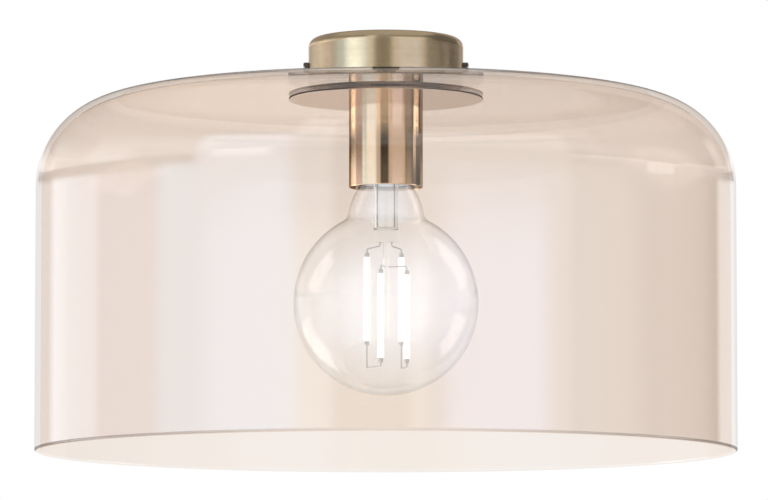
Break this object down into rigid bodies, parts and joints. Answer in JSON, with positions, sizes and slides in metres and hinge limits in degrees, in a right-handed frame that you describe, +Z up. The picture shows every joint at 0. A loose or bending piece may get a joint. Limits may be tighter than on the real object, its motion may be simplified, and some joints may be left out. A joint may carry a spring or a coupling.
{
  "type": "glass ceiling light",
  "caption": "Flush ceiling light: drum-shaped tinted glass shade clamped under a round brass canopy, with a brass lampholder cup and a clear globe bulb that unscrews.",
  "frame": {"origin": "middle of the ceiling strap's top face, where the light meets the ceiling", "axes": "+Z up into the ceiling, +X along the ceiling strap towards the right side screw, -Y the side seen in the picture"},
  "size_m": [0.36, 0.36, 0.214],
  "materials": {
    "zinc_steel": "zinc plated",
    "antique_brass": "brushed, aged",
    "dark_bronze": "satin",
    "tinned_copper": "tinned",
    "white_plastic": "moulded",
    "plain_brass": "machined",
    "brown_insulation": "smooth",
    "blue_insulation": "smooth",
    "green_yellow_insulation": "smooth",
    "clear_silicone": "matt",
    "smoked_glass": "clear, lightly tinted",
    "polished_brass": "polished",
    "black_phenolic": "moulded",
    "white_ceramic": "unglazed",
    "clear_glass": "clear",
    "nickel": "bright",
    "black_vitrite": "glossy",
    "green_board": "lacquered",
    "bright_wire": "drawn",
    "lit_phosphor": "coated"
  },
  "bodies": {
    "fixture": {"ceiling_bracket": "zinc_steel", "earth_screw": "zinc_steel", "earth_washer": "zinc_steel", "terminal_screws": "zinc_steel", "terminal_fixings": "zinc_steel", "tube_nut": "zinc_steel", "lock_washer": "zinc_steel", "clamp_nut": "zinc_steel", "holder_screws": "zinc_steel", "canopy": "antique_brass", "canopy_screws": "dark_bronze", "earth_tag": "tinned_copper", "terminal_block": "white_plastic", "glass_bush": "white_plastic", "terminal_sleeves": "plain_brass", "threaded_tube": "plain_brass", "holder_insert": "plain_brass", "holder_terminals": "plain_brass", "screw_shell": "plain_brass", "live_lead": "brown_insulation", "neutral_lead": "blue_insulation", "earth_lead": "green_yellow_insulation", "upper_gasket": "clear_silicone", "lower_gasket": "clear_silicone", "glass_shade": "smoked_glass", "clamp_disc": "polished_brass", "holder_cup": "polished_brass", "holder_cap": "black_phenolic", "holder_skirt": "black_phenolic", "contact_block": "white_ceramic"},
    "contact_leaf": {"centre_contact": "plain_brass"},
    "bulb_contact": {"bulb_tip": "tinned_copper"},
    "bulb": {"bulb_glass": "clear_glass", "bulb_cap": "nickel", "bulb_insulator": "black_vitrite", "bulb_driver": "green_board", "bulb_stem": "clear_glass", "bulb_wires": "bright_wire", "led_filaments": "lit_phosphor"}
  },
  "joints": [
    {"name": "bulb_drop", "type": "slide", "parent": "fixture", "child": "bulb_contact", "axis": [0, 0, -1], "range_m": [0, 0.0175]},
    {"name": "bulb_turn", "type": "hinge", "parent": "bulb_contact", "child": "bulb", "pos_m": [0, 0, -0.06], "axis": [0, 0, -1], "range_deg": [0, 1710]},
    {"name": "contact_flex", "type": "hinge", "parent": "fixture", "child": "contact_leaf", "pos_m": [-0.0075, 0, -0.04727], "axis": [0, -1, 0], "range_deg": [0, 8], "stiffness_Nm_per_rad": 0.001}
  ],
  "couplings": [
    {"joint": "bulb_drop", "follows": "bulb_turn", "m_per_rad": 0.00057757}
  ]
}
